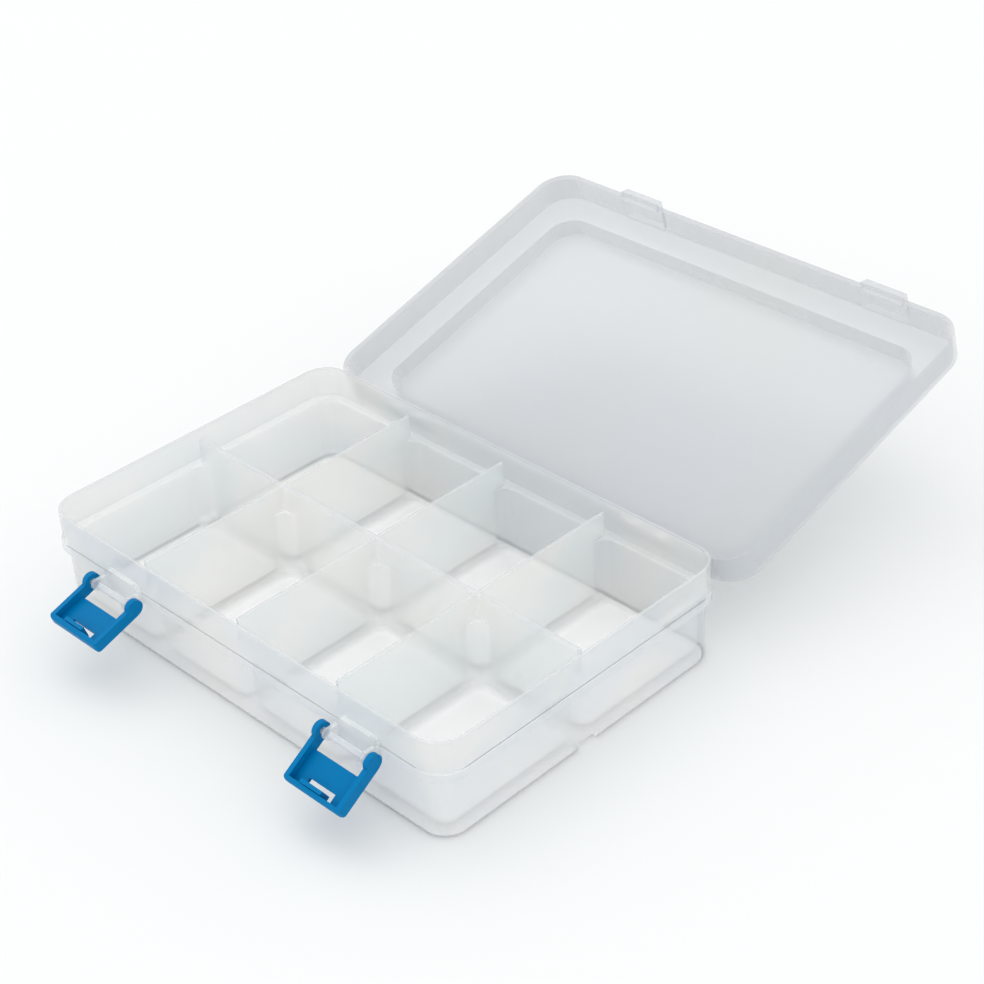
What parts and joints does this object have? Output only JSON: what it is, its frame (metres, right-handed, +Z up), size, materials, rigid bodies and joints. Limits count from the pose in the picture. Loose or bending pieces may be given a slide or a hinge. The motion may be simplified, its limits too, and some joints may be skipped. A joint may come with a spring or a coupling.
{
  "type": "compartment storage box",
  "caption": "Clear plastic bead organizer box with rows of open compartments, one hinged lid laid open behind it and blue snap latches on the front",
  "frame": {"origin": "middle of the tray's footprint, on the surface that the box stands on", "axes": "+X runs along the box, from the left latch to the right one seen from the front; +Y runs from the latches towards the hinge and the open lid; +Z is up"},
  "size_m": [0.204, 0.3001, 0.0727],
  "materials": {
    "clear_plastic": "polished moulding, clear with a faint milky haze",
    "blue_plastic": "satin gloss moulding, opaque"
  },
  "bodies": {
    "tray": {"base_tray": "clear_plastic"},
    "lid": {"lid": "clear_plastic"},
    "latch_left": {"latch_left": "blue_plastic"},
    "latch_right": {"latch_right": "blue_plastic"}
  },
  "joints": [
    {"name": "lid_hinge", "type": "hinge", "parent": "tray", "child": "lid", "pos_m": [0, 0.0698, 0.0314], "axis": [1, 0, 0], "range_deg": [0, 164]},
    {"name": "latch_left_hinge", "type": "hinge", "parent": "tray", "child": "latch_left", "pos_m": [-0.0564, -0.0729, 0.0261], "axis": [-1, 0, 0], "range_deg": [-79.5, 108.5]},
    {"name": "latch_right_hinge", "type": "hinge", "parent": "tray", "child": "latch_right", "pos_m": [0.0636, -0.0729, 0.0261], "axis": [-1, 0, 0], "range_deg": [-65, 123]}
  ]
}
